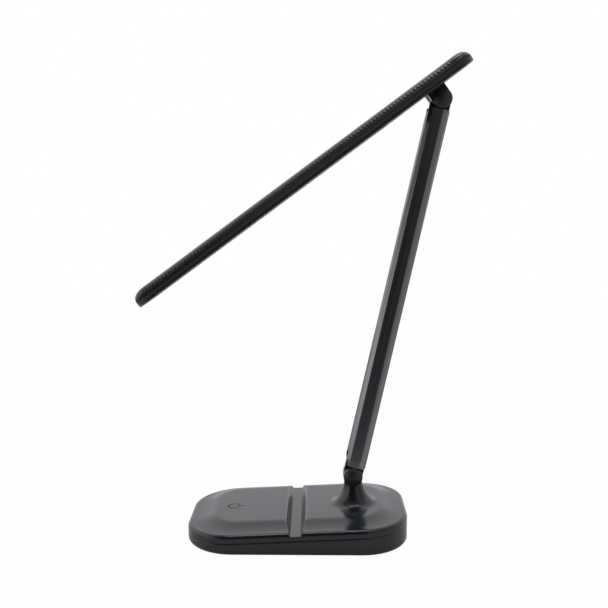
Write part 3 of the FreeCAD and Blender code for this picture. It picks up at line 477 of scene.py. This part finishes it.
def shares_across():
    """Places across the head as shares of its half width: close together on the rounded edges."""
    bends = [1 - bend / (HEAD_WIDTH / 2) for bend in crown_steps(EDGE_STEPS)]
    flat = [bends[-1] * (1 - step / FLAT_STEPS) for step in range(1, FLAT_STEPS + 1)]
    right = bends + flat
    return [-share for share in right] + list(reversed(right[:-1]))


def top_grid():
    """The head's top as a grid of points and faces, and the points of its rim in order round the head."""
    stations, shares = lengths_along(), shares_across()
    points = []
    for x in stations:
        for share in shares:
            y = share * half_width(x)
            points.append(Vector((x, y, cover_height(x, y))))
    across = len(shares)
    faces = []
    for row in range(len(stations) - 1):
        for column in range(across - 1):
            corner = row * across + column
            faces.append((corner, corner + across, corner + across + 1, corner + 1))
    last_row = (len(stations) - 1) * across
    rim = [row * across for row in range(len(stations))]
    rim += [last_row + column for column in range(1, across)]
    rim += [row * across + across - 1 for row in range(len(stations) - 2, -1, -1)]
    rim += list(range(across - 2, 0, -1))
    return points, faces, rim


def press_ribs(points, faces):
    """The points of the top, moved in along its normals by the depth of the ribs."""
    mesh = bpy.data.meshes.new("head_top")
    mesh.from_pydata(points, [], faces)
    mesh.update()
    pressed = [vertex.co - vertex.normal * rib_depth(vertex.co.x, vertex.normal.z)
               for vertex in mesh.vertices]
    bpy.data.meshes.remove(mesh)
    return pressed


def drawn_in(rim, inset, height):
    """The rim's points again, drawn in by an inset and laid at a height."""
    share_x = 1 - inset / HEAD_HALF
    share_y = 1 - inset / (HEAD_WIDTH / 2)
    return [Vector((HEAD_MIDDLE + (point.x - HEAD_MIDDLE) * share_x, point.y * share_y, height))
            for point in rim]


def head_cover(material):
    """The head's top shell, ribbed across: one closed skin with the hollow for the light."""
    points, faces, rim = top_grid()
    points = press_ribs(points, faces)
    edge = [points[number] for number in rim]
    # Down the side, round the seam's edge, and up into the hollow
    levels = ((0, HEAD_SEAM + SEAM_ROUND), (SEAM_KNEE, HEAD_SEAM + SEAM_KNEE), (SEAM_ROUND, HEAD_SEAM),
              (HEAD_WALL, HEAD_SEAM), (HEAD_WALL, HEAD_KNEE), (CEILING_INSET, HEAD_CEILING))
    upper = rim
    for inset, height in levels:
        start = len(points)
        points += drawn_in(edge, inset, height)
        lower = list(range(start, len(points)))
        for place in range(len(rim)):
            following = (place + 1) % len(rim)
            faces.append((upper[place], upper[following], lower[following], lower[place]))
        upper = lower
    faces.append(tuple(reversed(upper)))
    mesh = bpy.data.meshes.new("head_cover")
    mesh.from_pydata(points, [], faces)
    mesh.transform(head_frame())
    mesh.update()
    mesh.shade_smooth()
    mesh.materials.append(material)
    cover = add_object("head_cover", mesh)
    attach(cover, "head")
    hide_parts("head_top_shell")


# Studio: a pale table, a world that is bright behind the lamp and dark in front, and a soft light above

def see_white(tree, lit, white, glossy_share):
    """Mixes a lit shader with plain white: all white for the camera, a share of it in reflections."""
    path = add_node(tree, "ShaderNodeLightPath").outputs
    glossy = add_node(tree, "ShaderNodeMath", path["Is Glossy Ray"], glossy_share, operation="MULTIPLY")
    clear = add_node(tree, "ShaderNodeMath", path["Is Camera Ray"], path["Is Transmission Ray"],
                     operation="MAXIMUM")
    share = add_node(tree, "ShaderNodeMath", glossy.outputs[0], clear.outputs[0], operation="MAXIMUM")
    return add_node(tree, "ShaderNodeMixShader", share.outputs[0], lit, white).outputs[0]


def table():
    """A pale table; the camera sees it nearly plain white, with a trace of the shadow."""
    mesh = bpy.data.meshes.new("table")
    corners = [(-TABLE_SIDE, TABLE_FRONT, 0), (TABLE_SIDE, TABLE_FRONT, 0), (TABLE_SIDE, TABLE_BACK, 0),
               (-TABLE_SIDE, TABLE_BACK, 0)]
    mesh.from_pydata(corners, [], [(0, 1, 2, 3)])
    material = bpy.data.materials.new("table_white")
    material.use_nodes = True
    tree = material.node_tree
    tree.nodes.clear()
    lit = add_node(tree, "ShaderNodeBsdfDiffuse", Color=(*grey(TABLE_GREY), 1)).outputs[0]
    plain = add_node(tree, "ShaderNodeEmission", Color=WHITE).outputs[0]
    soft = add_node(tree, "ShaderNodeMixShader", TABLE_WHITE, lit, plain).outputs[0]
    seen = see_white(tree, lit, soft, glossy_share=TABLE_GLOSSY_WHITE)
    add_node(tree, "ShaderNodeOutputMaterial", Surface=seen)
    mesh.materials.append(material)
    item = add_object("table", mesh)


def surround():
    """The world: brightest behind the lamp, dark where the camera stands, with a wall on each side."""
    world = bpy.data.worlds.new("studio")
    bpy.context.scene.world = world
    world.use_nodes = True
    tree = world.node_tree
    tree.nodes.clear()
    place = add_node(tree, "ShaderNodeTexCoord").outputs["Generated"]
    along = add_node(tree, "ShaderNodeSeparateXYZ", place).outputs
    depth = add_node(tree, "ShaderNodeMapRange", Value=along["Y"], From_Min=-1)
    ramp = add_node(tree, "ShaderNodeValToRGB", depth.outputs[0])
    elements = ramp.color_ramp.elements
    elements[0].position, elements[1].position = DEPTH_STOPS[0][0], DEPTH_STOPS[-1][0]
    for position, _ in DEPTH_STOPS[1:-1]:
        elements.new(position)
    for element, (_, level) in zip(elements, DEPTH_STOPS):
        element.color = (*grey(level), 1)
    brightest = ramp.outputs[0]
    for axis, start, full, level in (LEFT_WALL, RIGHT_WALL, GROUND):
        wall = add_node(tree, "ShaderNodeMapRange", Value=along[axis], From_Min=start, From_Max=full,
                        To_Max=level)
        choice = add_node(tree, "ShaderNodeMath", brightest, wall.outputs[0], operation="MAXIMUM")
        brightest = choice.outputs[0]
    tinted = add_node(tree, "ShaderNodeVectorMath", STUDIO_TINT, operation="SCALE", Scale=brightest)
    climb = add_node(tree, "ShaderNodeMapRange", Value=along["Z"], From_Min=CLIMB_START, To_Min=CLIMB_LOW,
                     To_Max=CLIMB_HIGH)
    lit = add_node(tree, "ShaderNodeBackground", Color=tinted.outputs[0], Strength=climb.outputs[0])
    plain = add_node(tree, "ShaderNodeBackground", Color=WHITE)
    seen = see_white(tree, lit.outputs[0], plain.outputs[0], glossy_share=0.0)
    add_node(tree, "ShaderNodeOutputWorld", Surface=seen)


def overhead_light():
    """A soft rectangular light that looks down at the lamp."""
    light = bpy.data.lights.new("overhead", "AREA")
    light.shape = "RECTANGLE"
    light.size = OVERHEAD_WIDTH
    light.size_y = OVERHEAD_DEPTH
    light.energy = OVERHEAD_RADIANCE * math.pi * OVERHEAD_WIDTH * OVERHEAD_DEPTH
    item = add_object("overhead", light)
    item.location = OVERHEAD_AT
    item.rotation_euler = (OVERHEAD_TARGET - OVERHEAD_AT).to_track_quat("-Z", "Y").to_euler()
    item.visible_camera = False


def camera():
    """The photograph's view of the lamp."""
    lens = bpy.data.cameras.new("camera")
    lens.lens = CAMERA_LENS
    lens.sensor_width = SENSOR_WIDTH
    item = add_object("camera", lens)
    item.location = CAMERA_AT
    item.rotation_euler = (math.pi / 2 - CAMERA_DOWN, 0, CAMERA_LEFT)
    bpy.context.scene.camera = item


finishes = dress_nodes()
head_cover(finishes["head_plastic"])
table()
surround()
overhead_light()
camera()
bpy.context.scene.view_settings.view_transform = "Standard"
